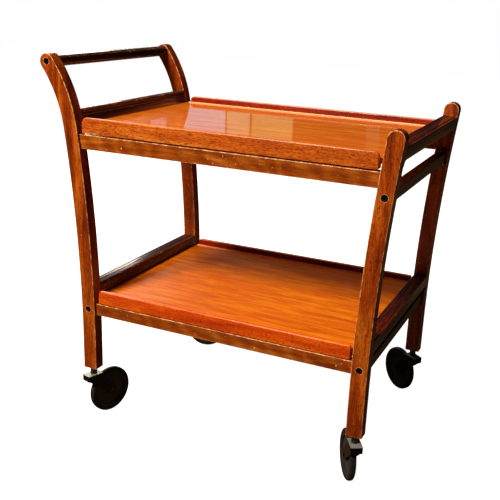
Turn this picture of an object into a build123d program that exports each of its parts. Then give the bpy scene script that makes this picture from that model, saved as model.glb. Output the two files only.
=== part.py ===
"""Two-tier serving trolley on four swivel castors, built as it comes apart on a bench.

Two side frames (a tall curved leg, a short leg and two side rails each) are joined by three
cross rails and the push bar with bolts and barrel nuts. The upper tray lifts out.

X runs along the trolley with the push bar at -X, Y runs across it, Z is up. The origin is on the
floor, midway between the four castor swivel axes. Millimetres.
"""

import os
from math import cos, radians, sin

from build123d import *

# ---------------------------------------------------------------- overall sizes
cart_width = 430.0  # over the outer faces of the legs
foot_spacing = 550.0  # between the swivel axes, along the trolley

# ---------------------------------------------------------------- legs
leg_width = 29.0  # along the trolley
leg_thickness = 24.5  # across the trolley
leg_straight = 60.0  # straight length above the foot
leg_rounding = 1.6
shoulder_height = 590.0  # where the rear leg starts its tighter curve
shoulder_reach = 31.0
push_bar_height = 704.5
push_bar_reach = 78.5  # how far the push bar stands behind the rear feet
front_tip_height = 631.0  # centre of the front leg's rounded top
front_tip_reach = 27.5

# ---------------------------------------------------------------- side and cross rails
side_rail_setback = 6.0  # from the leg's outer face
upper_rail_bottom = 551.0
upper_rail_height = 26.5
lower_rail_bottom = 225.5
lower_rail_height = 23.5
rail_rounding = 1.0
cross_rail_size = 19.0
cross_rail_upper_level = 538.0  # height of its centre
lower_slot = 8.5  # between a lower cross rail and the tray panel above it
upper_flare_radius = 9.0  # where a rail swells into a leg
flare_rise = 0.5  # straight part beyond the curve of a flare
flare_lip = 1.5
push_bar_width = 25.0
push_bar_depth = 20.0
push_bar_rounding = 7.5

# ---------------------------------------------------------------- trays
tray_setback = 7.0  # side rail's outer face, from the leg's outer face
upper_tray_gap = 3.0  # between the side rail of the frame and that of the tray
lower_tray_gap = 1.8
upper_tray_rail_height = 28.0
lower_tray_rail_height = 24.8
upper_panel_level = 15.0  # panel's top face above the tray rail's bottom
lower_panel_level = 12.2
upper_panel_thickness = 9.0
lower_panel_thickness = 8.0
panel_tongue = 16.0  # how far the panel runs under an end rail
panel_rebate = 3.0  # how far that tongue lies below the panel's top
upper_end_rail_height = 24.5  # above the panel
lower_end_rail_height = 22.5
upper_corner_radius = 7.5  # rounded top corners of the side rails
lower_corner_radius = 3.5
rail_cap_width = 11.0  # flat top of a tray's side rail
nosing_radius = 2.0
end_nosing_radius = 5.0
groove_radius = 0.9
tray_rail_end_gap = 6.5  # from a tray's side rail to the leg

# ---------------------------------------------------------------- fixings
bolt_radius = 3.0
bolt_head_radius = 5.4
bolt_head_height = 4.5
bolt_length = 52.0  # under the head
hex_socket_flats = 5.0
hex_socket_depth = 2.6
counterbore_radius = 6.25
counterbore_depth = 6.5
barrel_nut_radius = 5.0
barrel_nut_length = 14.0
barrel_nut_inset = 26.0  # its axis, from the end of the cross rail
dowel_radius = 3.0
dowel_wall = 1.0  # wood left between a dowel and the bolt that crosses it
dowel_pitch = 15.0
pad_radius = 7.0
pad_position = 205.0  # pads at plus and minus this along the trolley
screw_radius = 2.0
screw_head_radius = 4.0
screw_head_height = 2.5
screw_pocket_depth = 9.0
screw_bite = 14.0  # thread in the tray's rail
screw_position = 130.0

# ---------------------------------------------------------------- castors
wheel_diameter = 94.0
wheel_width = 11.0
tyre_depth = 9.0
hub_radius = 11.0
web_recess = 2.4
trail = 39.0  # axle behind the swivel axis
axle_radius = 2.5
axle_head_radius = 4.2
axle_head_height = 1.6
stem_radius = 4.0
stem_length = 30.0
stem_collar_radius = 6.5
rivet_radius = 5.5
rivet_height = 2.0
socket_radius = 5.6
socket_length = 33.0
socket_flange_radius = 8.5
socket_flange_height = 1.5
fork_drop = 15.0  # foot of the leg to the top of the fork
wheel_headroom = 1.0  # top of the fork to the top of the wheel
fork_front = 20.0
fork_rear = 14.0
fork_depth = 12.0
fork_wall = 2.0
cheek_wall = 1.6
cheek_boss_radius = 9.0
cheek_gap = 1.3  # between a cheek and the wheel
cheek_side_gap = 0.6  # between a cheek and the skirt of the fork
swivel_angles = {"rear_right": 72, "front_right": 121, "front_left": 142, "rear_left": 20}

# ---------------------------------------------------------------- clearances
glue_gap = 0.1  # between glued or bolted wooden faces, on each side
hole_clearance = 0.1  # radial, for dowels, bolts and nuts
tray_leg_gap = 0.5  # lift-out tray to the legs
rest_gap = 0.3  # lift-out tray to its pads
running_clearance = 0.08  # radial, for the stem and the axle

# ---------------------------------------------------------------- derived places
foot_height = wheel_diameter + wheel_headroom + fork_drop
foot_x = foot_spacing / 2
leg_outer = cart_width / 2
leg_inner = leg_outer - leg_thickness
leg_middle = (leg_outer + leg_inner) / 2
rail_outer = leg_outer - side_rail_setback
rail_middle = (rail_outer + leg_inner) / 2
tray_outer = leg_outer - tray_setback
tray_inner = leg_inner - tray_leg_gap
wheel_radius = wheel_diameter / 2
cross_half_length = leg_inner - glue_gap
upper_rail_middle = upper_rail_bottom + upper_rail_height / 2
lower_rail_middle = lower_rail_bottom + lower_rail_height / 2
lower_panel_bottom = (
    lower_rail_bottom + lower_rail_height + lower_tray_gap + lower_panel_level - lower_panel_thickness
)
cross_rail_lower_level = lower_panel_bottom - lower_slot - cross_rail_size / 2
lower_flare_radius = min(
    lower_slot - 2 * flare_rise,
    (lower_slot + lower_panel_thickness - 3 * flare_rise) / 2,
)
bolt_head_face = leg_outer - counterbore_depth + bolt_head_height
bolt_end = bolt_head_face - bolt_head_height - bolt_length
barrel_nut_y = cross_half_length - barrel_nut_inset
dowel_reach = leg_width / 2 - bolt_radius - hole_clearance - dowel_wall
cheek_inside = wheel_width / 2 + cheek_gap
cheek_outside = cheek_inside + cheek_wall
fork_width = 2 * (cheek_outside + cheek_side_gap + fork_wall)

SIDES = {"right": -1, "left": 1}  # right and left of someone pushing the trolley
ENDS = {"rear": -1, "front": 1}

upper_tray = {
    "rail_bottom": upper_rail_bottom + upper_rail_height + upper_tray_gap,
    "rail_height": upper_tray_rail_height,
    "panel_level": upper_panel_level,
    "panel_thickness": upper_panel_thickness,
    "end_height": upper_end_rail_height,
    "corner": upper_corner_radius,
    "flare": upper_flare_radius,
}
lower_tray = {
    "rail_bottom": lower_rail_bottom + lower_rail_height + lower_tray_gap,
    "rail_height": lower_tray_rail_height,
    "panel_level": lower_panel_level,
    "panel_thickness": lower_panel_thickness,
    "end_height": lower_end_rail_height,
    "corner": lower_corner_radius,
    "flare": lower_flare_radius,
}

os.makedirs("parts", exist_ok=True)


def save(part, name):
    """Label a finished piece and write it to its own file."""
    part.label = name
    export_step(part, f"parts/{name}.step")


# ---------------------------------------------------------------- centre lines of the legs
# Drawn as (along, height) pairs; each leg is this line given its width.
with BuildLine() as rear_axis:
    Line((-foot_x, foot_height), (-foot_x, foot_height + leg_straight))
    rear_bend = TangentArc(
        (-foot_x, foot_height + leg_straight),
        (-foot_x - shoulder_reach, shoulder_height),
        tangent=(0, 1),
    )
    TangentArc(
        rear_bend @ 1,
        (-foot_x - push_bar_reach, push_bar_height),
        tangent=rear_bend % 1,
    )

with BuildLine() as front_axis:
    Line((foot_x, foot_height), (foot_x, foot_height + leg_straight))
    TangentArc(
        (foot_x, foot_height + leg_straight),
        (foot_x + front_tip_reach, front_tip_height),
        tangent=(0, 1),
    )

AXES = {"rear": rear_axis.wire(), "front": front_axis.wire()}


def on_axis(end, height):
    """Place and direction of a leg's centre line at a height."""
    line, low, high = AXES[end], 0.0, 1.0
    for _ in range(40):
        middle = (low + high) / 2
        if (line @ middle).Y < height:
            low = middle
        else:
            high = middle
    return line @ low, line % low


def leg_face(end, height):
    """X of a leg's inner face at a height."""
    centre, direction = on_axis(end, height)
    return centre.X - ENDS[end] * leg_width / 2 / direction.Y


def across(side, distance):
    """Upright plane along the trolley, facing out of the side, at a distance from the middle."""
    return Plane(origin=(0, side * distance, 0), x_dir=(1, 0, 0), z_dir=(0, -1, 0))


# ---------------------------------------------------------------- bolts and dowels: their places
rear_tip = (-foot_x - push_bar_reach, push_bar_height)
BOLTED = {
    "rear": [rear_tip, (on_axis("rear", cross_rail_lower_level)[0].X, cross_rail_lower_level)],
    "front": [
        (on_axis("front", cross_rail_upper_level)[0].X, cross_rail_upper_level),
        (on_axis("front", cross_rail_lower_level)[0].X, cross_rail_lower_level),
    ],
}
dowel_heights = [
    middle + step * dowel_pitch / 2
    for middle in (upper_rail_middle, lower_rail_middle)
    for step in (-1, 1)
]


def dowel_hole_places(end, side):
    """Planes facing along the trolley at the joint of each dowel of one leg."""
    for height in dowel_heights:
        yield Plane(
            origin=(leg_face(end, height), side * rail_middle, height), z_dir=(1, 0, 0)
        )


# ---------------------------------------------------------------- legs
def make_leg(end, side):
    name = f"{end}_leg_{'right' if side < 0 else 'left'}"
    near_face = side * leg_inner if side < 0 else leg_outer
    with BuildPart() as leg:
        with BuildSketch(Plane.XZ.offset(-near_face)) as outline:
            SlotArc(AXES[end], leg_width)
            with Locations((ENDS[end] * foot_x, foot_height - leg_width / 2)):
                Rectangle(2 * leg_width, leg_width, mode=Mode.SUBTRACT)
        extrude(amount=leg_thickness)
        fillet(leg.edges().filter_by(Plane.XZ), leg_rounding)
        for x, height in BOLTED[end]:
            face = Plane(origin=(x, side * leg_outer, height), z_dir=(0, side, 0))
            with Locations(face):
                CounterBoreHole(
                    bolt_radius + hole_clearance,
                    counterbore_radius,
                    counterbore_depth,
                    leg_thickness,
                )
        for joint in dowel_hole_places(end, side):
            with BuildSketch(joint):
                Circle(dowel_radius + hole_clearance)
            extrude(amount=dowel_reach + hole_clearance, both=True, mode=Mode.SUBTRACT)
        with BuildSketch(Plane.XY.offset(foot_height)):
            with Locations((ENDS[end] * foot_x, side * leg_middle)):
                Circle(socket_radius + hole_clearance)
        extrude(amount=socket_length + hole_clearance, mode=Mode.SUBTRACT)
    save(leg.part, name)


for end in ENDS:
    for side in SIDES.values():
        make_leg(end, side)


# ---------------------------------------------------------------- side rails of the frame
def make_side_rail(level, bottom, height, side):
    name = f"{level}_side_rail_{'right' if side < 0 else 'left'}"
    middle = bottom + height / 2
    rear_x, front_x = on_axis("rear", middle)[0].X, on_axis("front", middle)[0].X
    inside, outside = side * leg_inner, side * rail_outer
    with BuildPart() as rail:
        with BuildSketch(Plane.XZ.offset(-max(inside, outside))):
            with Locations(((rear_x + front_x) / 2, middle)):
                Rectangle(front_x - rear_x, height)
            for line in AXES.values():
                SlotArc(line, leg_width + 2 * glue_gap, mode=Mode.SUBTRACT)
        extrude(amount=rail_outer - leg_inner)
        fillet(rail.edges().filter_by(Axis.X), rail_rounding)
        for end in ENDS:
            for joint in dowel_hole_places(end, side):
                if abs(joint.origin.Z - middle) < height / 2:
                    with BuildSketch(joint):
                        Circle(dowel_radius + hole_clearance)
                    reach = dowel_reach + hole_clearance
                    extrude(amount=reach, both=True, mode=Mode.SUBTRACT)
        if level == "lower":
            for x in (-screw_position, screw_position):
                under = Plane(origin=(x, side * rail_middle, bottom), z_dir=(0, 0, -1))
                with Locations(under):
                    CounterBoreHole(
                        screw_radius + hole_clearance,
                        screw_head_radius + hole_clearance,
                        screw_pocket_depth,
                        height,
                    )
    save(rail.part, name)


for side in SIDES.values():
    make_side_rail("upper", upper_rail_bottom, upper_rail_height, side)
    make_side_rail("lower", lower_rail_bottom, lower_rail_height, side)


# ---------------------------------------------------------------- cross rails and push bar
def bolt_drillings(x, height, nut_floor):
    """Bolt holes in both ends of a cross member, and pockets for the barrel nuts from below."""
    with BuildPart() as drillings:
        for side in SIDES.values():
            face = Plane(origin=(x, side * cross_half_length, height), z_dir=(0, side, 0))
            with BuildSketch(face):
                Circle(bolt_radius + hole_clearance)
            extrude(amount=-(cross_half_length - bolt_end + 1.0))
        with BuildSketch(Plane.XY.offset(nut_floor)):
            with Locations((x, -barrel_nut_y), (x, barrel_nut_y)):
                Circle(barrel_nut_radius + hole_clearance)
        extrude(amount=height + barrel_nut_length / 2 + hole_clearance - nut_floor)
    return drillings.part


def make_cross_rail(name, end, height, flare):
    """Square rail with rounded arrises whose ends swell up and down into the legs."""
    x = on_axis(end, height)[0].X
    half, depth = cross_half_length, cross_rail_size
    drillings = bolt_drillings(x, height, height - depth / 2 - flare)
    with BuildPart() as rail:
        with BuildSketch(Plane.XZ):
            with Locations((x, height)):
                RectangleRounded(depth, depth, rail_rounding)
        extrude(amount=half, both=True)
        back = Plane(origin=(x - depth / 2, 0, height), x_dir=(0, 1, 0), z_dir=(1, 0, 0))
        with BuildSketch(back) as swelling:
            Rectangle(2 * half, depth)
            with Locations((flare_lip / 2 - half, 0), (half - flare_lip / 2, 0)):
                Rectangle(flare_lip, depth + 2 * (flare + flare_rise))
            inside_corners = swelling.vertices().filter_by(
                lambda v: abs(v.X) < half - flare_lip / 2 and abs(v.Y) < depth / 2 + 0.1
            )
            fillet(inside_corners, flare)
            Rectangle(2 * (half - flare_lip - flare), 2 * depth, mode=Mode.SUBTRACT)
        extrude(amount=depth)
        add(drillings, mode=Mode.SUBTRACT)
    save(rail.part, name)


make_cross_rail("front_upper_cross_rail", "front", cross_rail_upper_level, upper_flare_radius)
make_cross_rail("front_lower_cross_rail", "front", cross_rail_lower_level, lower_flare_radius)
make_cross_rail("rear_lower_cross_rail", "rear", cross_rail_lower_level, lower_flare_radius)

push_bar_drillings = bolt_drillings(*rear_tip, push_bar_height - push_bar_depth / 2)
with BuildPart() as push_bar:
    with BuildSketch(Plane.XZ):
        with Locations(rear_tip):
            RectangleRounded(push_bar_width, push_bar_depth, push_bar_rounding)
    extrude(amount=cross_half_length, both=True)
    add(push_bar_drillings, mode=Mode.SUBTRACT)
save(push_bar.part, "push_bar")

# ---------------------------------------------------------------- bolts, barrel nuts, dowels
bolt_places = [(x, z, side) for end in ENDS for x, z in BOLTED[end] for side in SIDES.values()]

with BuildPart() as bolts:
    for x, z, side in bolt_places:
        face = Plane(origin=(x, side * bolt_head_face, z), z_dir=(0, side, 0))
        with BuildSketch(face):
            Circle(bolt_head_radius)
        extrude(amount=-bolt_head_height)
        with BuildSketch(face.offset(-bolt_head_height)):
            Circle(bolt_radius)
        extrude(amount=-bolt_length)
        with BuildSketch(face):
            RegularPolygon(hex_socket_flats / 2, 6, major_radius=False)
        extrude(amount=-hex_socket_depth, mode=Mode.SUBTRACT)
save(bolts.part, "frame_bolts")

with BuildPart() as nuts:
    for x, z, side in bolt_places:
        nut_y = side * barrel_nut_y
        with BuildSketch(Plane.XY.offset(z - barrel_nut_length / 2)):
            with Locations((x, nut_y)):
                Circle(barrel_nut_radius)
        extrude(amount=barrel_nut_length)
        with BuildSketch(Plane(origin=(x, nut_y, z), z_dir=(0, 1, 0))):
            Circle(bolt_radius + hole_clearance)
        extrude(amount=barrel_nut_radius + 1, both=True, mode=Mode.SUBTRACT)
save(nuts.part, "barrel_nuts")

with BuildPart() as dowels:
    for end in ENDS:
        for side in SIDES.values():
            for joint in dowel_hole_places(end, side):
                with BuildSketch(joint):
                    Circle(dowel_radius)
                extrude(amount=dowel_reach, both=True)
save(dowels.part, "rail_dowels")


# ---------------------------------------------------------------- trays
def make_tray(level, tray):
    bottom = tray["rail_bottom"]
    panel_top = bottom + tray["panel_level"]
    rear, front = (leg_face(end, panel_top) for end in ENDS)

    with BuildPart() as panel:
        with BuildSketch(Plane.XY.offset(panel_top - tray["panel_thickness"])):
            with Locations(((rear + front) / 2, 0)):
                Rectangle(front - rear, 2 * tray_inner)
        extrude(amount=tray["panel_thickness"])
        with BuildSketch(Plane.XY.offset(panel_top - tray["panel_thickness"])):
            with Locations(((rear + front) / 2, 0)):
                Rectangle(front - rear + 2 * panel_tongue, 2 * tray_inner)
        extrude(amount=tray["panel_thickness"] - panel_rebate)
    save(panel.part, f"{level}_tray_panel")

    rail_ends = {end: leg_face(end, bottom) - ENDS[end] * tray_rail_end_gap for end in ENDS}
    for side_name, side in SIDES.items():
        make_tray_side_rail(f"{level}_tray_side_rail_{side_name}", tray, side, rail_ends)
    for end in ENDS:
        make_tray_end_rail(f"{level}_tray_end_rail_{end}", tray, end, panel_top)


def make_tray_side_rail(name, tray, side, ends):
    """Moulded side rail: flat cap, nosing and a cove down to the panel, with rounded top ends."""
    bottom = tray["rail_bottom"]
    top = bottom + tray["rail_height"]
    panel_top = bottom + tray["panel_level"]
    inner = side * tray_inner
    outer = side * tray_outer
    nose = side * (tray_outer - rail_cap_width - nosing_radius)
    cove_top = top - nosing_radius - 2.0
    cove_foot = panel_top + 1.0
    length = ends["front"] - ends["rear"]
    middle_x = (ends["front"] + ends["rear"]) / 2
    rear = Plane(origin=(ends["rear"], 0, 0), x_dir=(0, 1, 0), z_dir=(1, 0, 0))
    with BuildPart() as rail:
        with BuildSketch(rear) as profile:
            with BuildLine():
                Polyline(
                    (inner, cove_foot), (inner, bottom), (outer, bottom), (outer, top),
                    (nose, top), (nose, cove_top),
                )
                ThreePointArc(
                    (nose, cove_top),
                    (0.72 * nose + 0.28 * inner, 0.28 * cove_top + 0.72 * cove_foot),
                    (inner, cove_foot),
                )
            make_face()
            fillet(profile.vertices().filter_by(lambda v: v.Y > top - 0.1), nosing_radius)
        extrude(amount=length)
        with BuildSketch(Plane.XZ) as outline:
            with Locations((middle_x, (bottom + top) / 2)):
                Rectangle(length, top - bottom)
            fillet(outline.vertices().group_by(Axis.Y)[-1], tray["corner"])
        extrude(amount=leg_outer, both=True, mode=Mode.INTERSECT)
        if name.startswith("lower"):
            with BuildSketch(Plane.XY.offset(bottom)):
                with Locations(
                    (-screw_position, side * rail_middle), (screw_position, side * rail_middle)
                ):
                    Circle(screw_radius + hole_clearance)
            extrude(amount=screw_bite + hole_clearance, mode=Mode.SUBTRACT)
    save(rail.part, name)


def make_tray_end_rail(name, tray, end, panel_top):
    """End rail between two legs: square to their lean, beaded inside, hollowed underneath."""
    at, lean = on_axis(end, panel_top)
    out = ENDS[end]
    height = tray["end_height"]
    section = Plane(
        origin=(at.X, 0, panel_top),
        x_dir=(out * lean.Y, 0, -out * lean.X),
        z_dir=(0, -out, 0),
    )
    swell = tray["flare"] + flare_rise
    half = leg_width / 2
    foot = swell + half
    face_x = leg_face(end, panel_top)
    tongue_x = face_x + out * (panel_tongue + hole_clearance)
    with BuildPart() as rail:
        with BuildSketch(section) as profile:
            with Locations((0, (height - foot) / 2)):
                Rectangle(leg_width, height + foot)
            inner_top, outer_top = profile.vertices().group_by(Axis.Y)[-1].sort_by(Axis.X)
            fillet(inner_top, end_nosing_radius)
            fillet(outer_top, nosing_radius)
            grooves = [
                (-half + 6.2, height),
                (-half + 10.4, height),
                (-half, height - 7.0),
                (-half, height - 12.5),
            ]
            with Locations(*grooves):
                Circle(groove_radius, mode=Mode.SUBTRACT)
        extrude(amount=tray_inner, both=True)
        tongue_end = Plane(origin=(tongue_x, 0, panel_top), x_dir=(0, 1, 0), z_dir=(1, 0, 0))
        with BuildSketch(tongue_end) as hollow:
            with Locations((0, -foot)):
                Rectangle(2 * (tray_inner - flare_lip), 2 * foot)
            fillet(hollow.vertices().group_by(Axis.Y)[-1], tray["flare"])
        extrude(amount=out * 2 * leg_width, mode=Mode.SUBTRACT)
        with BuildSketch(Plane.XZ):
            with Locations((at.X, panel_top - swell - leg_width)):
                Rectangle(4 * leg_width, 2 * leg_width)
            with Locations((tongue_x - out * 2 * leg_width, panel_top - panel_rebate - leg_width)):
                Rectangle(4 * leg_width, 2 * leg_width)
            with Locations((face_x - out * 2 * leg_width, panel_top - leg_width)):
                Rectangle(4 * leg_width, 2 * leg_width)
        extrude(amount=tray_inner + 1, both=True, mode=Mode.SUBTRACT)
    save(rail.part, name)


make_tray("upper", upper_tray)
make_tray("lower", lower_tray)

# ---------------------------------------------------------------- pads and screws
rest_places = [(x, side * rail_middle) for x in (-pad_position, pad_position) for side in (-1, 1)]
for level, top, gap in (
    ("upper", upper_rail_bottom + upper_rail_height, upper_tray_gap - rest_gap),
    ("lower", lower_rail_bottom + lower_rail_height, lower_tray_gap),
):
    with BuildPart() as pads:
        with BuildSketch(Plane.XY.offset(top)):
            with Locations(*rest_places):
                Circle(pad_radius)
        extrude(amount=gap)
    save(pads.part, f"{level}_tray_rest_pads")

with BuildPart() as screws:
    head_bottom = lower_rail_bottom + screw_pocket_depth - screw_head_height
    screw_tip = lower_tray["rail_bottom"] + screw_bite
    places = [(x, side * rail_middle) for x in (-screw_position, screw_position) for side in (-1, 1)]
    with BuildSketch(Plane.XY.offset(head_bottom)):
        with Locations(*places):
            Circle(screw_head_radius)
    extrude(amount=screw_head_height)
    with BuildSketch(Plane.XY.offset(head_bottom)):
        with Locations(*places):
            Circle(screw_radius)
    extrude(amount=screw_tip - head_bottom)
save(screws.part, "lower_tray_screws")


# ---------------------------------------------------------------- castors
corners = {
    f"{end}_{side_name}": (ENDS[end] * foot_x, side * leg_middle)
    for end in ENDS
    for side_name, side in SIDES.items()
}

with BuildPart() as sockets:
    with BuildSketch(Plane.XY.offset(foot_height - socket_flange_height)):
        with Locations(*corners.values()):
            Circle(socket_flange_radius)
    extrude(amount=socket_flange_height)
    with BuildSketch(Plane.XY.offset(foot_height)):
        with Locations(*corners.values()):
            Circle(socket_radius)
    extrude(amount=socket_length)
    with BuildSketch(Plane.XY.offset(foot_height - socket_flange_height)):
        with Locations(*corners.values()):
            Circle(stem_radius + running_clearance)
    extrude(amount=socket_flange_height + socket_length, mode=Mode.SUBTRACT)
save(sockets.part, "castor_sockets")


def make_castor(corner, place, angle):
    """One castor; u is along the trail, v along the axle, w up from the foot of the leg."""
    x, y = place
    along = (cos(radians(angle)), sin(radians(angle)), 0)
    foot = Plane(origin=(x, y, foot_height), x_dir=along, z_dir=(0, 0, 1))
    upright = Plane(origin=foot.origin, x_dir=along, z_dir=-foot.y_dir)
    axle_drop = foot_height - wheel_radius
    axle = upright.from_local_coords(Vector(trail, -axle_drop, 0))
    spin = Plane(origin=axle, x_dir=along, z_dir=-foot.y_dir)
    spin_back = Plane(origin=axle, x_dir=along, z_dir=foot.y_dir)
    plate_bottom = -fork_drop - fork_wall
    stem_top = stem_length
    collar_top = -socket_flange_height - rest_gap

    with BuildPart() as stem:
        with BuildSketch(foot.offset(plate_bottom - rivet_height)):
            Circle(rivet_radius)
        extrude(amount=rivet_height)
        with BuildSketch(foot.offset(plate_bottom)):
            Circle(stem_radius)
        extrude(amount=stem_top - plate_bottom)
        with BuildSketch(foot.offset(-fork_drop)):
            Circle(stem_collar_radius)
        extrude(amount=collar_top + fork_drop)
    save(stem.part, f"castor_stem_{corner}")

    hood_middle = (fork_rear - fork_front) / 2
    hood_length = fork_rear + fork_front
    with BuildPart() as fork:
        with BuildSketch(foot.offset(-fork_drop - fork_depth)) as hood:
            with Locations((hood_middle, 0)):
                Rectangle(hood_length, fork_width)
        extrude(amount=fork_depth)
        front_corners = fork.edges().filter_by(Axis.Z).sort_by(
            lambda e: foot.to_local_coords(e.center()).X
        )[:2]
        fillet(front_corners, 2.5)
        with BuildSketch(foot.offset(-fork_drop - fork_depth)):
            with Locations((hood_middle + fork_wall, 0)):
                Rectangle(hood_length, fork_width - 2 * fork_wall)
        extrude(amount=fork_depth - fork_wall, mode=Mode.SUBTRACT)
        with BuildSketch(upright.offset(cheek_inside)) as cheek:
            with Locations((hood_middle, -fork_drop - fork_depth / 2 - fork_wall / 2)):
                Rectangle(hood_length - 2 * fork_wall, fork_depth - fork_wall)
            with Locations((trail, -axle_drop)):
                Circle(cheek_boss_radius)
            make_hull()
        extrude(amount=cheek_wall)
        with BuildSketch(upright.offset(-cheek_outside)):
            with Locations((hood_middle, -fork_drop - fork_depth / 2 - fork_wall / 2)):
                Rectangle(hood_length - 2 * fork_wall, fork_depth - fork_wall)
            with Locations((trail, -axle_drop)):
                Circle(cheek_boss_radius)
            make_hull()
        extrude(amount=cheek_wall)
        with BuildSketch(foot.offset(-fork_drop)):
            Circle(stem_radius + hole_clearance)
        extrude(amount=-fork_wall, mode=Mode.SUBTRACT)
        with BuildSketch(spin):
            Circle(axle_radius + hole_clearance)
        extrude(amount=fork_width, both=True, mode=Mode.SUBTRACT)
    save(fork.part, f"castor_fork_{corner}")

    with BuildPart() as axle_pin:
        with BuildSketch(spin):
            Circle(axle_radius)
        extrude(amount=cheek_outside, both=True)
        for face in (spin.offset(cheek_outside), spin.offset(-cheek_outside - axle_head_height)):
            with BuildSketch(face):
                Circle(axle_head_radius)
            extrude(amount=axle_head_height)
    save(axle_pin.part, f"castor_axle_{corner}")

    disc_radius = wheel_radius - tyre_depth
    with BuildPart() as disc:
        with BuildSketch(spin):
            Circle(disc_radius)
        extrude(amount=wheel_width / 2 - 1.0, both=True)
        for facing in (spin, spin_back):
            with BuildSketch(facing.offset(wheel_width / 2 - 1.0)):
                Circle(disc_radius - 4.0)
                Circle(hub_radius, mode=Mode.SUBTRACT)
            extrude(amount=-web_recess, mode=Mode.SUBTRACT)
        with BuildSketch(spin):
            Circle(hub_radius - 2.0)
        extrude(amount=wheel_width / 2 + cheek_gap - rest_gap, both=True)
        with BuildSketch(spin):
            Circle(axle_radius + running_clearance)
        extrude(amount=wheel_width, both=True, mode=Mode.SUBTRACT)
    save(disc.part, f"castor_wheel_{corner}")

    with BuildPart() as tyre:
        with BuildSketch(spin):
            Circle(wheel_radius)
        extrude(amount=wheel_width / 2, both=True)
        fillet(tyre.edges().filter_by(GeomType.CIRCLE), wheel_width / 2 - 1.8)
        with BuildSketch(spin):
            Circle(disc_radius + hole_clearance)
        extrude(amount=wheel_width, both=True, mode=Mode.SUBTRACT)
    save(tyre.part, f"castor_tyre_{corner}")


for corner, place in corners.items():
    make_castor(corner, place, swivel_angles[corner])
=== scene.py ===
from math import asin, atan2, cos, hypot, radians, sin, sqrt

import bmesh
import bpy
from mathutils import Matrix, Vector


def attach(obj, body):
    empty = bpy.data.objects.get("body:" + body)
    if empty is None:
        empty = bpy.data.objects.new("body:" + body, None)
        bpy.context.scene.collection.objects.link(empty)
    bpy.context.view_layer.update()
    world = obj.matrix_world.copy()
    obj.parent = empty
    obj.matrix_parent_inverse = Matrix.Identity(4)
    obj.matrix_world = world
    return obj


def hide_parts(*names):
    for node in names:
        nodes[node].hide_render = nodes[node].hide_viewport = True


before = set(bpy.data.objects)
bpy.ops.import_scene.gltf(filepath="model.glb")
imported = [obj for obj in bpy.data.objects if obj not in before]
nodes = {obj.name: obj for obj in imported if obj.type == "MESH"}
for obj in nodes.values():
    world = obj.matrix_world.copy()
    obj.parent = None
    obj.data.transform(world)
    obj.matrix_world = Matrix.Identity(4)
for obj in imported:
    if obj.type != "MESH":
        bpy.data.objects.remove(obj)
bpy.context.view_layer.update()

# %% [markdown]
# A wooden tea trolley, finished for a picture.
# The joiner's frame is already here, in metres: every leg, rail, tray board and castor stands in
# its place. This lesson gives the wood its grain, varnish and worn edges, makes the mouldings of
# both trays again with their beads and coves, and then sets up the studio.

# %% [markdown]
# Colours are written the way a paint chart writes them, as sRGB hex. The shader wants linear light,
# so one function turns one into the other.

# %% Colours
def paint(hex_code):
    """sRGB hex to the linear colour that shader sockets take."""
    parts = [int(hex_code[i : i + 2], 16) / 255 for i in (1, 3, 5)]
    linear = [p / 12.92 if p <= 0.04045 else ((p + 0.055) / 1.055) ** 2.4 for p in parts]
    return (*linear, 1.0)


print("middle grey in linear light", round(paint("#808080")[0], 3))


# %% [markdown]
# Every material below is a small net of nodes. One helper adds a node, sets it up and plugs it in.
# A value that is a socket becomes a wire; any other value is typed into the socket. A colour ramp
# takes its stops as (place, hex) pairs, or (place, grey) pairs for a mask.

# %% One helper for nodes
def add_node(tree, kind, inputs=None, stops=(), **settings):
    """Add a node of this kind, set its properties, and fill or connect its inputs."""
    node = tree.nodes.new("ShaderNode" + kind)
    for key, value in settings.items():
        setattr(node, key, value)
    for key, value in (inputs or {}).items():
        if isinstance(value, bpy.types.NodeSocket):
            tree.links.new(value, node.inputs[key])
        else:
            node.inputs[key].default_value = value
    for index, (stop, colour) in enumerate(stops):
        if index > 1:
            node.color_ramp.elements.new(stop)
        element = node.color_ramp.elements[index]
        element.position = stop
        element.color = paint(colour) if isinstance(colour, str) else (colour, colour, colour, 1.0)
    return node


def new_material(name):
    """An empty material with its shader, ready for nodes."""
    material = bpy.data.materials.new(name)
    material.use_nodes = True
    tree = material.node_tree
    return material, tree, tree.nodes["Principled BSDF"]


# %% [markdown]
# Varnished hardwood: beech stained red-brown for the frame, mahogany for the tray mouldings. Real
# timber shows three sizes of pattern: broad figure a few centimetres wide, fibres, and open pores,
# short dark dashes that varnish never quite fills. All three are the same noise stretched along the
# grain, each at its own scale. Slanted waves add a little flame where a board was cut across the
# rings.

# %% The grain of the wood
TURN = {"x": (0, 0, 0), "y": (0, 0, radians(90)), "z": (0, radians(90), 0)}
FIGURE_STRETCH, FIBRE_STRETCH, PORE_STRETCH = 9, 22, 5  # how many times longer than wide
FIBRE_SHARE = 0.35  # the rest of the colour change is broad figure
PORE_EDGE = 0.09  # how softly a pore ends
FLAME_SLANT = radians(35)


def along_grain(tree, turned, stretch, width_mm):
    """Coordinates for noise whose cell is width_mm wide and stretch times as long."""
    size = 1000 / width_mm
    scale = (size / stretch, size, size)
    return add_node(tree, "Mapping", {"Vector": turned, "Scale": scale}).outputs[0]


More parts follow.
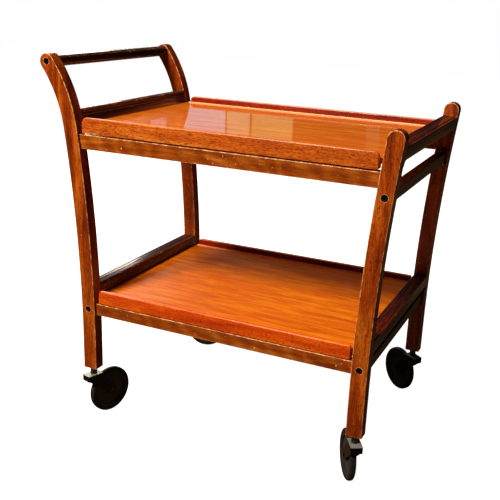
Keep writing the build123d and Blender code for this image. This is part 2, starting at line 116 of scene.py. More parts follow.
def draw_grain(tree, turned, colours, widths_mm, pore_reach, pore_strength, flame):
    """The wood's colour with its pores, and the fibre and pore patterns for the relief."""
    dark, mid, light, pore = colours
    # fibres and pores are really 0.1 to 0.3 mm wide, and drawn about 1 mm wide so that they show
    figure_mm, fibre_mm, pore_mm = widths_mm
    figure = add_node(tree, "TexNoise", {
        "Vector": along_grain(tree, turned, FIGURE_STRETCH, figure_mm), "Scale": 1.0,
        "Detail": 4.0, "Roughness": 0.55, "Distortion": 0.9})
    fibre = add_node(tree, "TexNoise", {
        "Vector": along_grain(tree, turned, FIBRE_STRETCH, fibre_mm), "Scale": 1.0,
        "Detail": 3.0, "Roughness": 0.6})
    pores = add_node(tree, "TexNoise", {
        "Vector": along_grain(tree, turned, PORE_STRETCH, pore_mm), "Scale": 1.0,
        "Detail": 1.5, "Roughness": 0.5})
    grown = figure.outputs["Fac"]
    if flame:
        slanted = add_node(tree, "Mapping", {"Vector": turned, "Rotation": (0, FLAME_SLANT, 0)})
        flames = add_node(tree, "TexWave", {"Vector": slanted.outputs[0], "Scale": 9.0,
                                            "Distortion": 14.0, "Detail": 3.0, "Detail Scale": 0.8})
        grown = add_node(tree, "Mix", {"Factor": flame, "A": grown, "B": flames.outputs["Fac"]},
                         data_type="FLOAT").outputs[0]
    blend = add_node(tree, "Mix", {"Factor": FIBRE_SHARE, "A": grown, "B": fibre.outputs["Fac"]},
                     data_type="FLOAT")
    wood = add_node(tree, "ValToRGB", {"Fac": blend.outputs[0]},
                    stops=[(0.36, dark), (0.5, mid), (0.64, light)])
    pore_mask = add_node(tree, "MapRange", {
        "Value": pores.outputs["Fac"], "From Min": pore_reach, "From Max": pore_reach + PORE_EDGE,
        "To Max": pore_strength})
    coloured = add_node(tree, "Mix", {"Factor": pore_mask.outputs[0], "A": wood.outputs["Color"],
                                      "B": paint(pore)}, data_type="RGBA")
    return coloured.outputs["Result"], fibre.outputs["Fac"], pore_mask.outputs[0]


# %% [markdown]
# A tray's side rail has a cove between a bead and a nosing. Painted shade darkens the cove, and
# painted highlights make the bead and the nosing pale lines. How far a point lies from the trolley's
# middle says where across the rail it is, so two colour ramps over that distance lay the painted
# shade, which also darkens the outer face a little, and the painted highlights down its whole length.

# %% Painted shade and highlights across a side rail
ACROSS_FROM, ACROSS_TO = 0.188, 0.208  # just inside the rail, and its outer face, in metres
# painted shade: the cove darkened red, and the outer face a little
COVE_PAINTED_SHADE = [(0.0, "#ffffff"), (0.18, "#ffffff"), (0.23, "#8c3410"), (0.565, "#a84a1c"),
              (0.6, "#ffffff"), (0.92, "#ffffff"), (1.0, "#dcc8b4")]
# painted highlights: pale lines on the bead at the cove's foot and on the nosing
PAINTED_HIGHLIGHT_LINES = [(0.06, 0.0), (0.1, 0.55), (0.16, 0.0), (0.57, 0.0), (0.61, 0.6), (0.68, 0.0)]


def paint_shade_and_highlights(tree, place, coloured, pale):
    """Paint shade into the cove, and paint highlights on the bead and the nosing."""
    sides = add_node(tree, "SeparateXYZ", {0: place})
    reach = add_node(tree, "Math", {0: sides.outputs["Y"]}, operation="ABSOLUTE")
    spot = add_node(tree, "MapRange", {"Value": reach.outputs[0], "From Min": ACROSS_FROM,
                                       "From Max": ACROSS_TO}).outputs[0]
    cove_shade = add_node(tree, "ValToRGB", {"Fac": spot}, stops=COVE_PAINTED_SHADE)
    cove_shaded = add_node(tree, "Mix", {"Factor": 1.0, "A": coloured, "B": cove_shade.outputs["Color"]},
                       data_type="RGBA", blend_type="MULTIPLY")
    highlight_lines = add_node(tree, "ValToRGB", {"Fac": spot}, stops=PAINTED_HIGHLIGHT_LINES)
    return add_node(tree, "Mix", {"Factor": highlight_lines.outputs["Color"],
                                  "A": cove_shaded.outputs["Result"], "B": paint(pale)},
                    data_type="RGBA").outputs["Result"]


# %% [markdown]
# The arrises of an old trolley are rubbed through to pale wood. A Bevel node finds them: near an
# arris its rounded normal lies between the two faces' directions. Where it is near 45 degrees to
# the chosen axis, the stain is thinner all along, and noise breaks chips of bare wood out of it.

# %% Worn arrises
PATCH_SCALE = (90, 220, 220)  # patches of wear about 5 mm wide and twice as long
DENT_SCALE = 260.0  # dents about 4 mm apart at most, and only the deepest show
PATCH_START, PATCH_SOFT, PATCH_SPREAD = 0.66, 0.08, 0.22
THINNED = 0.16  # how much bare wood shows all along a fully worn arris


def find_wear(tree, turned, wear, wear_mm, arris_axis):
    """A mask of bare wood: along the arrises with chips broken out, and in a few dents."""
    rounded = add_node(tree, "Bevel", {"Radius": wear_mm / 1000}, samples=8)
    facing = add_node(tree, "VectorMath", {0: rounded.outputs[0], 1: arris_axis},
                      operation="DOT_PRODUCT")
    squared = add_node(tree, "Math", {0: facing.outputs["Value"], 1: facing.outputs["Value"]},
                       operation="MULTIPLY")
    # the cosine of twice the angle is 0 at 45 degrees, and 1 or -1 on the flat faces
    double_angle = add_node(tree, "Math", {0: squared.outputs[0], 1: 2.0, 2: -1.0},
                            operation="MULTIPLY_ADD")
    slant = add_node(tree, "Math", {0: double_angle.outputs[0]}, operation="ABSOLUTE")
    arris = add_node(tree, "MapRange", {"Value": slant.outputs[0], "From Min": 0.9,
                                        "From Max": 0.45, "To Min": 0.0, "To Max": 1.0})
    spread = add_node(tree, "Mapping", {"Vector": turned, "Scale": PATCH_SCALE})
    patches = add_node(tree, "TexNoise", {"Vector": spread.outputs[0], "Scale": 1.0, "Detail": 6.0,
                                          "Roughness": 0.7})
    start = PATCH_START - PATCH_SPREAD * wear
    chipped = add_node(tree, "MapRange", {"Value": patches.outputs["Fac"], "From Min": start,
                                          "From Max": start + PATCH_SOFT, "To Min": THINNED * wear,
                                          "To Max": 1.0})
    worn_mask = add_node(tree, "Math", {0: arris.outputs[0], 1: chipped.outputs[0]},
                         operation="MULTIPLY")
    dents = add_node(tree, "TexNoise", {"Vector": turned, "Scale": DENT_SCALE, "Detail": 1.0})
    dent_mask = add_node(tree, "MapRange", {"Value": dents.outputs["Fac"], "From Min": 0.76,
                                            "From Max": 0.8, "To Max": wear})
    return add_node(tree, "Math", {0: worn_mask.outputs[0], 1: dent_mask.outputs[0]},
                    operation="MAXIMUM").outputs[0]


# %% [markdown]
# Brushed varnish goes over all of it: satin on the frame, glossier on the trays. It is a coat on
# the shader. Bare wood is rougher, and pores, fibres and worn places lie a tenth of a millimetre
# lower.

# %% Varnished wood
BARE_ROUGHNESS = 0.62
RELIEF_DEPTH = 0.00012  # metres


def varnished_wood(name, grain, dark, mid, light, pore, worn, arris_axis=(0, 0, 1), figure_mm=22,
                   fibre_mm=1.1, pore_mm=0.9, pore_reach=0.55, pore_strength=0.7, flame=0.0,
                   wear=0.5, wear_mm=2.4, roughness=0.34, coat=0.35, coat_roughness=0.12,
                   shift=(0, 0, 0), moulded=False):
    """Hardwood under varnish; grain is the axis it runs along, sizes are in millimetres."""
    material, tree, shader = new_material(name)
    place = add_node(tree, "TexCoord").outputs["Object"]
    turned = add_node(tree, "Mapping", {"Vector": place, "Rotation": TURN[grain],
                                        "Location": shift}).outputs[0]
    coloured, fibre, pore_mask = draw_grain(
        tree, turned, (dark, mid, light, pore), (figure_mm, fibre_mm, pore_mm), pore_reach,
        pore_strength, flame)
    # painted shade in the cove, painted highlights on the bead and the nosing
    if moulded:
        coloured = paint_shade_and_highlights(tree, place, coloured, worn)
    bare = find_wear(tree, turned, wear, wear_mm, arris_axis)
    aged = add_node(tree, "Mix", {"Factor": bare, "A": coloured, "B": paint(worn)},
                    data_type="RGBA")
    relief = add_node(tree, "Math", {0: pore_mask, 1: fibre}, operation="ADD")
    deeper = add_node(tree, "Math", {0: relief.outputs[0], 1: bare}, operation="ADD")
    bump = add_node(tree, "Bump", {"Height": deeper.outputs[0], "Strength": 0.3,
                                   "Distance": RELIEF_DEPTH}, invert=True)
    rough = add_node(tree, "MapRange", {"Value": bare, "To Min": roughness,
                                        "To Max": BARE_ROUGHNESS})
    tree.links.new(aged.outputs["Result"], shader.inputs["Base Color"])
    tree.links.new(rough.outputs[0], shader.inputs["Roughness"])
    tree.links.new(bump.outputs[0], shader.inputs["Normal"])
    shader.inputs["Coat Weight"].default_value = coat
    shader.inputs["Coat Roughness"].default_value = coat_roughness
    shader.inputs["IOR"].default_value = 1.5
    shader.inputs["Specular IOR Level"].default_value = 0.25
    print("wood", material.name, len(tree.nodes), "nodes")
    return material


# %% [markdown]
# Each wood keeps its own colours, wear and gloss. Frame parts are satin and the most worn. The tray
# boards are veneered and lacquered, so they mirror the room and have no worn arris. The end rails
# and cross rails took a darker stain. The shift moves the pattern, so that no two woods match.

# %% The woods of the trolley
# stained beech, brush varnished: satin, with a pale line of wear down each arris
leg_wood = varnished_wood("leg_beech_stained", "z", "#4c1200", "#863200", "#b05a10", "#220700",
                          "#e0aa74", arris_axis=(0, 1, 0), wear=0.95, pore_mm=1.1,
                          pore_strength=0.6, coat=0.1)
# the same beech cut across the rings: a trace of flame, chips along the lower arris
frame_rail_wood = varnished_wood("frame_rail_beech_stained", "x", "#622300", "#853c04", "#a9601a",
                                 "#3c1400", "#f2c795", wear=0.85, pore_strength=0.5, figure_mm=16,
                                 flame=0.13, coat=0.1, shift=(0.3, 0.1, 0.2))
# mahogany, amber varnish: short dark pores on orange-brown
tray_rail_wood = varnished_wood("tray_rail_mahogany", "x", "#a5460c", "#d0701e", "#ee9c3e",
                                "#6c2404", "#f6c690", wear=0.3, wear_mm=1.4, pore_mm=1.1,
                                pore_reach=0.5, pore_strength=0.65, coat=0.12,
                                shift=(0.7, 0.4, 0.1), moulded=True)
# the same moulding on the lower tray, redder because less light has bleached it
lower_rail_wood = varnished_wood("lower_tray_rail_mahogany", "x", "#b03800", "#de5a00", "#f8800e",
                                 "#781c00", "#f6c690", wear=0.3, wear_mm=1.4, pore_mm=1.1,
                                 pore_reach=0.52, pore_strength=0.65, coat=0.12,
                                 shift=(0.1, 0.9, 0.4), moulded=True)
# mahogany stained nearly black-red: the gloss draws lines along the beads, and the pale wear at the
# edges of the lines is partly a painted highlight on the bead crests
end_rail_wood = varnished_wood("end_rail_mahogany_dark", "y", "#220300", "#440b01", "#6e1f06",
                               "#120200", "#d88a4c", wear=0.45, wear_mm=1.0, coat=0.6,
                               coat_roughness=0.1, shift=(0.5, 0.2, 0.6))
# beech stained almost black, glossy from hands
cross_wood = varnished_wood("cross_rail_beech_dark", "y", "#100300", "#220700", "#40180a",
                            "#080200", "#c07c48", wear=0.45, coat=0.4, shift=(0.2, 0.6, 0.3))
# veneer under sprayed lacquer: sharp, bright reflections on amber
panel_wood = varnished_wood("tray_panel_veneer", "x", "#c05000", "#da6a04", "#ee8c0c", "#8c3600",
                            "#ffb040", figure_mm=11, fibre_mm=0.8, pore_strength=0.3, wear=0.0,
                            roughness=0.4, coat=0.7, coat_roughness=0.05, shift=(0.9, 0.3, 0.8))

# %% [markdown]
# The hardware: black oxide bolts, black moulded wheels with rubber tyres, and felt under the trays.
# The forks are black steel, and a painted highlight makes the faces that look up bright grey
# metal.

# %% Metals, plastic, rubber and felt
CLOUD_SCALE = 60.0  # soft clouds of about 15 mm


def plain_finish(name, base, second, roughness, metallic=0.0, grit_mm=1.5, bump=0.1, coat=0.0,
                 specular=0.5):
    """A finish with slight mottling: base to second colour over grit of the given size."""
    # the grit is far coarser than the real grain of these finishes, which would not show
    material, tree, shader = new_material(name)
    place = add_node(tree, "TexCoord").outputs["Object"]
    grit = add_node(tree, "TexNoise", {"Vector": place, "Scale": 1000 / grit_mm, "Detail": 5.0,
                                       "Roughness": 0.6})
    cloud = add_node(tree, "TexNoise", {"Vector": place, "Scale": CLOUD_SCALE,
                                       "Detail": 4.0})
    both = add_node(tree, "Mix", {"Factor": 0.5, "A": grit.outputs["Fac"],
                                  "B": cloud.outputs["Fac"]}, data_type="FLOAT")
    colour = add_node(tree, "ValToRGB", {"Fac": both.outputs[0]},
                      stops=[(0.4, base), (0.62, second)])
    rough = add_node(tree, "MapRange", {"Value": both.outputs[0], "From Min": 0.3, "From Max": 0.7,
                                        "To Min": roughness - 0.06, "To Max": roughness + 0.1})
    bumped = add_node(tree, "Bump", {"Height": grit.outputs["Fac"], "Strength": bump,
                                     "Distance": 0.0001})
    tree.links.new(colour.outputs["Color"], shader.inputs["Base Color"])
    tree.links.new(rough.outputs[0], shader.inputs["Roughness"])
    tree.links.new(bumped.outputs[0], shader.inputs["Normal"])
    shader.inputs["Metallic"].default_value = metallic
    shader.inputs["Coat Weight"].default_value = coat
    shader.inputs["Specular IOR Level"].default_value = specular
    return material


# black oxide on steel: dark, with a soft metallic glint
bolt_black = plain_finish("bolt_black_oxide", "#101114", "#222328", 0.35, metallic=0.8)
# bright zinc plate on steel nuts and screws
zinc = plain_finish("bright_zinc", "#b9b9b4", "#dcdcd8", 0.24, metallic=1.0)
# baked enamel: black with a thin gloss
stem_black = plain_finish("stem_black_enamel", "#040405", "#0c0c0e", 0.3, coat=0.3, specular=0.3)
# moulded nylon and rubber: black that dust has greyed
wheel_black = plain_finish("wheel_moulded_nylon", "#1e1e20", "#343437", 0.36, specular=0.15)
tyre_black = plain_finish("tyre_black_rubber", "#121213", "#242425", 0.5, bump=0.25, specular=0.15)
# felt and raw beech: matt, hidden until the tray is lifted
felt_brown = plain_finish("pad_brown_felt", "#1c0f08", "#2e1a0e", 0.9, bump=0.8)
dowel_wood = plain_finish("dowel_beech_raw", "#a8855a", "#c9a777", 0.6)
# painted shade: near black in the scratched lines of the end rails
line_painted_shade = plain_finish("end_rail_line_painted_shade", "#060100", "#140502", 0.6)
print(len(bpy.data.materials), "materials so far")

# %% Fork: black, with a painted highlight on the top faces
TOP_LIGHT_FROM, TOP_LIGHT_TO = 1.15, 1.3  # upward normal plus scuff noise: only faces that look up pass it
fork_steel, tree, shader = new_material("fork_black_painted_top_highlight")
coordinates = add_node(tree, "TexCoord")
upward = add_node(tree, "SeparateXYZ", {0: coordinates.outputs["Normal"]})
scuffs = add_node(tree, "TexNoise", {"Vector": coordinates.outputs["Object"], "Scale": 320.0,
                                     "Detail": 6.0, "Roughness": 0.7})
facing_up_scuffed = add_node(tree, "Math", {0: upward.outputs["Z"], 1: scuffs.outputs["Fac"]}, operation="ADD")
lit_top = add_node(tree, "MapRange", {"Value": facing_up_scuffed.outputs[0], "From Min": TOP_LIGHT_FROM,
                                   "From Max": TOP_LIGHT_TO})
lit_top_metallic = add_node(tree, "Math", {0: lit_top.outputs[0], 1: 0.4}, operation="MULTIPLY")
# painted highlight: bright grey metal on faces that look up, black on the rest
black_and_lit_top = add_node(tree, "Mix", {"Factor": lit_top.outputs[0], "A": paint("#020202"),
                                      "B": paint("#8e8e8a")}, data_type="RGBA")
steel_rough = add_node(tree, "MapRange", {"Value": scuffs.outputs["Fac"], "To Min": 0.18,
                                          "To Max": 0.5})
steel_bump = add_node(tree, "Bump", {"Height": scuffs.outputs["Fac"], "Strength": 0.15,
                                     "Distance": 0.0001})
tree.links.new(black_and_lit_top.outputs["Result"], shader.inputs["Base Color"])
tree.links.new(lit_top_metallic.outputs[0], shader.inputs["Metallic"])
tree.links.new(steel_rough.outputs[0], shader.inputs["Roughness"])
tree.links.new(steel_bump.outputs[0], shader.inputs["Normal"])
shader.inputs["Specular IOR Level"].default_value = 0.15
print("fork finish", len(tree.nodes), "nodes")

# %% [markdown]
# Every piece from the joiner's shop takes its finish by name. The longest key found in the name
# wins, so that a tray's side rail is told from the frame's. The real parts were stained and varnished
# one by one before they were put together, which is why each has one finish all over.

# %% Finishes on the pieces that stay as the joiner made them
FINISHES = {
    "leg": leg_wood,
    "side_rail": frame_rail_wood,
    "cross_rail": cross_wood,
    "push_bar": cross_wood,
    "panel": panel_wood,
    "upper_tray_side": tray_rail_wood,
    "lower_tray_side": lower_rail_wood,
    "end_rail": end_rail_wood,
    "bolts": bolt_black,
    "nuts": zinc,
    "screws": zinc,
    "dowels": dowel_wood,
    "pads": felt_brown,
    "sockets": stem_black,
    "castor_stem": stem_black,
    "castor_fork": fork_steel,
    "castor_axle": stem_black,
    "castor_wheel": wheel_black,
    "castor_tyre": tyre_black,
}


def finish_for(name):
    """The finish whose key is the longest one found in the piece's name."""
    keys = [key for key in FINISHES if key in name]
    return FINISHES[max(keys, key=len)]


for name, piece in nodes.items():
    piece.data.materials.clear()
    piece.data.materials.append(finish_for(name))
print("finished", len(nodes), "pieces")

# %% [markdown]
# The end rails of both trays are made again. Each is a length of mahogany run over a router table:
# a large nosing towards the tray, beads along the top between scratched lines, two more lines down
# the inner face and one down the outer, and an underside hollowed between two swellings where it
# meets the legs. The rail stands square to the legs, which lean outwards, so it is shaped upright
# first and tilted afterwards.
# By hand that is a block with bevelled arrises, cut lengthwise by planes. The middle of each narrow
# strip is pushed in to leave a bead beside it, and cutters hollow the rail from below, one of them
# with rounded corners.

# %% Helpers for shaping a piece in edit mode
def start_piece(name, low, high):
    """A block between two corners, with its place in its mesh."""
    bpy.ops.object.select_all(action="DESELECT")
    bpy.ops.mesh.primitive_cube_add(size=1, location=[(a + b) / 2 for a, b in zip(low, high)])
    piece = bpy.context.object
    piece.name = name
    piece.scale = [b - a for a, b in zip(low, high)]
    bpy.ops.object.transform_apply(location=True, rotation=True, scale=True)
    return piece


def choose(kind, test):
    """Select the edges or faces of the piece in edit mode whose corners all pass the test."""
    bpy.ops.mesh.select_mode(type=kind)
    bpy.ops.mesh.select_all(action="DESELECT")
    data = bpy.context.object.data
    shape = bmesh.from_edit_mesh(data)
    items = shape.edges if kind == "EDGE" else shape.faces
    for item in items:
        if all(test(corner.co) for corner in item.verts):
            item.select_set(True)
    bmesh.update_edit_mesh(data)
    return sum(item.select for item in items)


def cut_along(place, direction):
    """Add a loop of edges where a plane crosses the piece in edit mode."""
    bpy.ops.mesh.select_all(action="SELECT")
    bpy.ops.mesh.bisect(plane_co=place, plane_no=direction)


SLACK = 0.00005  # two places closer than this, in metres, are the same


def near(a, b):
    """Whether two places along an axis are the same."""
    return abs(a - b) < SLACK


def cut_away(piece, cutter):
    """Subtract the cutter from the piece and throw the cutter away."""
    bpy.ops.object.select_all(action="DESELECT")
    bpy.context.view_layer.objects.active = piece
    piece.select_set(True)
    modifier = piece.modifiers.new("cut", "BOOLEAN")
    modifier.operation = "DIFFERENCE"
    modifier.solver = "EXACT"
    modifier.object = cutter
    bpy.ops.object.modifier_apply(modifier=modifier.name)
    bpy.data.objects.remove(cutter)


def soften(piece, width, angle=50):
    """Round the sharp arrises a little and shade the rest smooth."""
    bpy.ops.object.select_all(action="DESELECT")
    bpy.context.view_layer.objects.active = piece
    piece.select_set(True)
    modifier = piece.modifiers.new("arris", "BEVEL")
    modifier.width = width
    modifier.segments = 2
    modifier.limit_method = "ANGLE"
    modifier.angle_limit = radians(angle)
    bpy.ops.object.modifier_apply(modifier=modifier.name)
    bpy.ops.object.shade_smooth_by_angle(angle=radians(32))


def compare(piece, node):
    """Print the faces and the box of a finished piece beside the box of the node it stands for."""
    for kind, thing in (("made", piece), ("frame", node)):
        points = [thing.matrix_world @ corner.co for corner in thing.data.vertices]
        low = [round(min(point[i] for point in points), 4) for i in range(3)]
        high = [round(max(point[i] for point in points), 4) for i in range(3)]
        print(kind, thing.name, len(thing.data.polygons), "faces", low, high)


# %% [markdown]
# The rails end against the legs, which are curved: straight at the foot, then bent outwards, and at
# the rear bent tighter towards the push bar. Each curve is an arc of a circle, so the leg's place
# and lean at any height follow from how far out and up the arc goes.

# %% Where the legs stand at a height
FOOT_X, STRAIGHT_TOP = 0.275, 0.170  # below this height a leg is straight and upright
REAR_ARC, FRONT_ARC = (0.031, 0.420), (0.0275, 0.461)  # how far out and up the curve above goes
HANDLE_X, HANDLE_Z = -0.306, 0.590  # where a rear leg bends tighter, towards the push bar
HANDLE_ARC = (0.0475, 0.1145)


def leg_line(end, height):
    """Place along the trolley and lean of a leg's middle; end is -1 at the rear, 1 in front."""
    reach, rise = REAR_ARC if end < 0 else FRONT_ARC
    radius = (reach**2 + rise**2) / (2 * reach)
    if end < 0 and height > HANDLE_Z:
        start = asin(rise / radius)
        chord, steep = hypot(*HANDLE_ARC), atan2(*HANDLE_ARC)
        tight = chord / (2 * sin(steep - start))
        lean = asin(sin(start) + (height - HANDLE_Z) / tight)
        return HANDLE_X - tight * (cos(start) - cos(lean)), lean
    up = height - STRAIGHT_TOP
    return end * (FOOT_X + radius - sqrt(radius**2 - up**2)), asin(up / radius)


print("rear and front leg at the upper tray", leg_line(-1, 0.5955), leg_line(1, 0.5955))

# %% End rails with beads
LEG_HALF = 0.0145  # half the rail's width, which is the leg's
RAIL_REACH = 0.190  # half its length, between the legs
TONGUE, REBATE, LIP = 0.0161, 0.003, 0.0015  # the panel's seat, and the wood left at each end
SWELL_EXTRA = 0.0005  # how much lower than its flare a swelling ends
NOSING, BACK_ROUND = 0.005, 0.002
BEAD_LINES = (-0.0078, -0.0026, 0.0088)  # middles of the lines on top, from the rail's middle
FACE_LINES = (0.0072, 0.0128)  # how far below the top the lines of the inner face are
OUTER_LINE = 0.0085  # one more line down the outer face
LINE_HALF, LINE_DEPTH = 0.0012, 0.0018  # wider than the real scratched lines, so that they show
ACROSS_LINE = (-LINE_HALF, 0, LINE_HALF)


def shape_end_rail(name, height, flare):
    """The rail upright: x outwards, z up from the tray panel's top."""
    foot = -flare - SWELL_EXTRA - LEG_HALF
    piece = start_piece(name, (-LEG_HALF, -RAIL_REACH, foot), (LEG_HALF, RAIL_REACH, height))
    piece.data.materials.append(end_rail_wood)
    piece.data.materials.append(line_painted_shade)
    bpy.ops.object.mode_set(mode="EDIT")
    choose("EDGE", lambda p: near(p.z, height) and near(p.x, -LEG_HALF))
    bpy.ops.mesh.bevel(offset=NOSING, segments=6)
    choose("EDGE", lambda p: near(p.z, height) and near(p.x, LEG_HALF))
    bpy.ops.mesh.bevel(offset=BACK_ROUND, segments=3)
    for line in BEAD_LINES:
        for step in ACROSS_LINE:
            cut_along((line + step, 0, 0), (1, 0, 0))
    for line in (*FACE_LINES, OUTER_LINE):
        for step in ACROSS_LINE:
            cut_along((0, 0, height - line + step), (0, 0, 1))
    for line in BEAD_LINES:
        choose("EDGE", lambda p: near(p.z, height) and near(p.x, line))
        bpy.ops.transform.translate(value=(0, 0, -LINE_DEPTH))
    for line in FACE_LINES:
        choose("EDGE", lambda p: near(p.x, -LEG_HALF) and near(p.z, height - line))
        bpy.ops.transform.translate(value=(LINE_DEPTH / 2, 0, 0))
    choose("EDGE", lambda p: near(p.x, LEG_HALF) and near(p.z, height - OUTER_LINE))
    bpy.ops.transform.translate(value=(-LINE_DEPTH, 0, 0))
    # the faces of the lines take the near-black painted shade
    piece.active_material_index = 1
    wide, deep = LINE_HALF + SLACK, LINE_DEPTH + SLACK
    for line in BEAD_LINES:
        choose("FACE", lambda p: abs(p.x - line) < wide and p.z > height - deep)
        bpy.ops.object.material_slot_assign()
    choose("FACE", lambda p: abs(p.z - height + OUTER_LINE) < wide and p.x > LEG_HALF - deep)
    bpy.ops.object.material_slot_assign()
    bpy.ops.object.mode_set(mode="OBJECT")
    return piece


# %% Tilting a rail and hollowing its underside
CUT_DEEP, CUT_WIDE, CUT_HALF = 0.06, 0.08, 0.2  # the cutters reach well past the rail


def tilt_and_hollow(piece, end, level, flare):
    """Lean the rail with the legs at that level, then cut its underside to the panel and air."""
    x, lean = leg_line(end, level)
    outwards = Matrix.Rotation(0 if end > 0 else radians(180), 4, "Z")
    turn = Matrix.Rotation(end * lean, 4, "Y") @ outwards
    piece.matrix_world = Matrix.Translation((x, 0, level)) @ turn
    bpy.ops.object.select_all(action="DESELECT")
    bpy.context.view_layer.objects.active = piece
    piece.select_set(True)
    bpy.ops.object.transform_apply(location=True, rotation=True, scale=True)
    face = x - end * LEG_HALF / cos(lean)
    tongue = face + end * TONGUE
    inner, outer = sorted((tongue, tongue + end * CUT_WIDE))
    side = RAIL_REACH - LIP
    hollow = start_piece("hollow", (inner, -side, level - CUT_DEEP), (outer, side, level))
    bpy.ops.object.mode_set(mode="EDIT")
    for y in (-side, side):
        choose("EDGE", lambda p: near(p.z, level) and near(p.y, y))
        bpy.ops.mesh.bevel(offset=flare, segments=8)
    bpy.ops.object.mode_set(mode="OBJECT")
    cut_away(piece, hollow)
    swell_foot = level - flare - SWELL_EXTRA
    far = x - end * CUT_WIDE
    for edge, top in ((tongue, level - REBATE), (face, level), (x + end * CUT_WIDE, swell_foot)):
        inner, outer = sorted((edge, far))
        under = start_piece("under", (inner, -CUT_HALF, level - CUT_DEEP), (outer, CUT_HALF, top))
        cut_away(piece, under)
    soften(piece, 0.0003)


# %% The four end rails
for tray, body, level, height, flare in (
    ("upper", "upper_tray", 0.5955, 0.0245, 0.009),
    ("lower", "frame", 0.263, 0.0225, 0.0075),
):
    for end_name, end in (("rear", -1), ("front", 1)):
        rail = shape_end_rail(f"{tray}_end_rail_{end_name}_beaded", height, flare)
        tilt_and_hollow(rail, end, level, flare)
        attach(rail, body)
        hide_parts(f"{tray}_tray_end_rail_{end_name}")
        compare(rail, nodes[f"{tray}_tray_end_rail_{end_name}"])

# %% [markdown]
# The side rails of the trays are one moulding: a flat cap, a small nosing, a cove down to the tray,
# and at the foot of the cove a thin bead, which the material brightens with a painted highlight. A
# joiner planes it in one length and saws it, and then rounds the top corners with a rasp.
# The block is drawn as high as the bead, its outer part is pulled up to the cap, and the inner
# corner that leaves is bevelled into the cove. The other side's rail is a mirrored copy, so its
# normals are turned outwards again.

# %% Side rails with a cove and a bead
RAIL_INNER, RAIL_NOSE, RAIL_OUTER = 0.190, 0.199, 0.208  # from the trolley's middle
BEAD_RISE, BEAD_ROUND = 0.0024, 0.0016
COVE, NOSE_ROUND = 0.0068, 0.0022
HAIR = 0.0001
RAIL_GAP = 0.0065  # from the rail's end to the leg


def shape_side_rail(name, bottom, height, panel_top, corner):
    """One moulded rail on the left side, from leg to leg."""
    top = bottom + height
    places = []
    for end in (-1, 1):
        x, lean = leg_line(end, bottom)
        places.append(x - end * (LEG_HALF / cos(lean) + RAIL_GAP))
    rear, front = places
    foot = panel_top + BEAD_RISE
    piece = start_piece(name, (rear, RAIL_INNER, bottom), (front, RAIL_OUTER, foot))
    bpy.ops.object.mode_set(mode="EDIT")
    cut_along((0, RAIL_NOSE, 0), (0, 1, 0))
    choose("FACE", lambda p: near(p.z, foot) and p.y > RAIL_NOSE - HAIR)
    lift = (0, 0, top - foot)
    bpy.ops.mesh.extrude_region_move(TRANSFORM_OT_translate={"value": lift})
    for x in places:
        choose("EDGE", lambda p: near(p.z, top) and near(p.x, x))
        bpy.ops.mesh.bevel(offset=corner, segments=8)
    for y in (RAIL_NOSE, RAIL_OUTER):
        choose("EDGE", lambda p: near(p.y, y) and p.z > top - corner - HAIR)
        bpy.ops.mesh.bevel(offset=NOSE_ROUND, segments=4)
    choose("EDGE", lambda p: near(p.z, foot) and near(p.y, RAIL_NOSE))
    bpy.ops.mesh.bevel(offset=COVE, segments=6)
    choose("EDGE", lambda p: near(p.z, foot) and near(p.y, RAIL_INNER))
    bpy.ops.mesh.bevel(offset=BEAD_ROUND, segments=4)
    bpy.ops.object.mode_set(mode="OBJECT")
    soften(piece, 0.0004, 60)
    return piece


# %% A mirrored copy
def mirrored_copy(piece, name):
    """A copy for the other side of the trolley, with its own mesh and its faces outwards."""
    bpy.ops.object.select_all(action="DESELECT")
    bpy.context.view_layer.objects.active = piece
    piece.select_set(True)
    bpy.ops.object.duplicate(linked=False)
    twin = bpy.context.object
    twin.name = name
    twin.scale.y = -1
    bpy.ops.object.transform_apply(location=True, rotation=True, scale=True)
    bpy.ops.object.mode_set(mode="EDIT")
    bpy.ops.mesh.select_all(action="SELECT")
    bpy.ops.mesh.normals_make_consistent(inside=False)
    bpy.ops.object.mode_set(mode="OBJECT")
    return twin


# %% The four side rails
for tray, body, wood, bottom, height, panel_top, corner in (
    ("upper", "upper_tray", tray_rail_wood, 0.5805, 0.0280, 0.5955, 0.0075),
    ("lower", "frame", lower_rail_wood, 0.2508, 0.0248, 0.2630, 0.0035),
):
    left = shape_side_rail(f"{tray}_side_moulding_left", bottom, height, panel_top, corner)
    right = mirrored_copy(left, f"{tray}_side_moulding_right")
    for side, rail in (("left", left), ("right", right)):
        rail.data.materials.append(wood)
        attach(rail, body)
        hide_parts(f"{tray}_tray_side_rail_{side}")
        compare(rail, nodes[f"{tray}_tray_side_rail_{side}"])

# %% [markdown]
# The studio is a pale floor under a white sky. Both are bright only where the camera looks straight
# at them: for every other ray they are dim, so the gloss on the trays keeps its colour.

# %% Floor and backdrop
FLOOR_GLOW, SKY_GLOW, SKY_DIM = 0.98, 0.99, 0.016
bpy.ops.object.select_all(action="DESELECT")
bpy.ops.mesh.primitive_plane_add(size=16, location=(0, 0, -0.0005))
floor = bpy.context.object
floor.name = "studio_floor"
floor_material, tree, shader = new_material("studio_floor_paint")
shader.inputs["Base Color"].default_value = paint("#c4c4c4")
shader.inputs["Roughness"].default_value = 0.9
shader.inputs["Specular IOR Level"].default_value = 0.0
shader.inputs["Emission Color"].default_value = (1, 1, 1, 1)
shader.inputs["Emission Strength"].default_value = FLOOR_GLOW
seen = add_node(tree, "LightPath").outputs["Is Camera Ray"]
dull = add_node(tree, "BsdfDiffuse", {"Color": (0.14, 0.09, 0.05, 1)})
shown = add_node(tree, "MixShader", {0: seen, 1: dull.outputs[0], 2: shader.outputs[0]})
tree.links.new(shown.outputs[0], tree.nodes["Material Output"].inputs["Surface"])
floor.data.materials.append(floor_material)

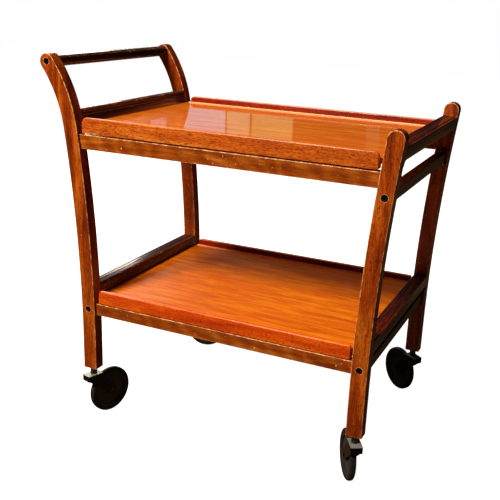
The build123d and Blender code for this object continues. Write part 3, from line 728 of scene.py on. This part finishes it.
world = bpy.data.worlds.new("studio")
bpy.context.scene.world = world
world.use_nodes = True
tree = world.node_tree
tree.nodes.clear()
dim = add_node(tree, "Background", {"Color": (1.0, 0.95, 0.9, 1), "Strength": SKY_DIM})
bright = add_node(tree, "Background", {"Color": (1, 1, 1, 1), "Strength": SKY_GLOW})
rays = add_node(tree, "LightPath")
mixed = add_node(tree, "MixShader", {0: rays.outputs["Is Camera Ray"], 1: dim.outputs[0],
                                     2: bright.outputs[0]})
add_node(tree, "OutputWorld", {"Surface": mixed.outputs[0]})
print("floor", floor.name, "sky", world.name)

# %% [markdown]
# One soft key light stands in front on the left and makes the long side bright and the ends dark. A
# weak light overhead and one behind keep the far parts readable. Behind the trolley hangs a row of
# window panes, which the lacquered trays mirror as patches of daylight, each with its own tint.

# %% Lights
def soft_light(name, place, target, size, watts, colour="#ffffff"):
    """A rectangular light of the given width and height, turned to face the target."""
    data = bpy.data.lights.new(name, "AREA")
    data.shape = "RECTANGLE"
    data.size, data.size_y = size
    data.energy = watts
    data.color = paint(colour)[:3]
    lamp = bpy.data.objects.new(name, data)
    bpy.context.collection.objects.link(lamp)
    lamp.location = place
    lamp.rotation_euler = (Vector(target) - Vector(place)).to_track_quat("-Z", "Y").to_euler()
    lamp.visible_camera = False
    return lamp


centre = (0, 0, 0.4)
soft_light("key", (-0.95, -2.3, 2.7), centre, (0.75, 0.75), 212, "#ffeed8")
soft_light("top", (-0.7, 0.3, 2.9), centre, (1.4, 1.4), 18, "#fff2e2")
soft_light("back_fill", (-2.2, 1.7, 1.3), centre, (1.2, 1.2), 28, "#fff2e2")
WINDOW_Y = 2.6
for left, right, low, high, glow, colour in (  # edges in metres, watts for each square metre
    (-1.66, -1.395, 0.955, 1.12, 2.6, "#b4ecff"),
    (-1.385, -1.245, 0.955, 1.12, 1.8, "#ddffc8"),
    (-1.232, -0.99, 0.955, 1.12, 1.5, "#e4ffa8"),
    (-0.58, -0.51, 0.955, 1.12, 0.3, "#ddffc8"),
    (-1.88, -1.775, 1.06, 1.13, 1.6, "#dadcff"),
    (-1.93, -1.72, 1.28, 1.52, 0.5, "#ffe8b0"),
    (-0.635, -0.595, 1.15, 1.26, 0.3, "#ffe8b0"),
):
    middle = ((left + right) / 2, WINDOW_Y, (low + high) / 2)
    size = (right - left, high - low)
    watts = glow * size[0] * size[1]
    soft_light("window_pane", middle, (middle[0], 0, middle[2]), size, watts, colour)
print(len(bpy.data.lights), "lights")

# %% [markdown]
# The camera stands a little above the upper tray, in front on the right, and leans by two degrees
# as a camera held in the hand does. Its axes are worked out from how far round, how high and how
# tilted it is.

# %% Camera
scene = bpy.context.scene
scene.view_settings.view_transform = "Standard"
camera_data = bpy.data.cameras.new("camera")
camera_data.sensor_width = 36
camera_data.lens = 57.73
camera = bpy.data.objects.new("camera", camera_data)
bpy.context.collection.objects.link(camera)
around, up, roll = radians(24.457), radians(17.734), radians(2.143)
back = Vector((sin(around) * cos(up), -cos(around) * cos(up), sin(up)))
right = (-back).cross(Vector((0, 0, 1))).normalized()
above = right.cross(-back)
turned_right = right * cos(roll) + above * sin(roll)
turned_up = above * cos(roll) - right * sin(roll)
axes = Matrix((turned_right, turned_up, back)).transposed().to_4x4()
camera.matrix_world = Matrix.Translation((0.6083, -1.4072, 0.8347)) @ axes
scene.camera = camera
print("camera at", tuple(round(c, 3) for c in camera.matrix_world.translation))
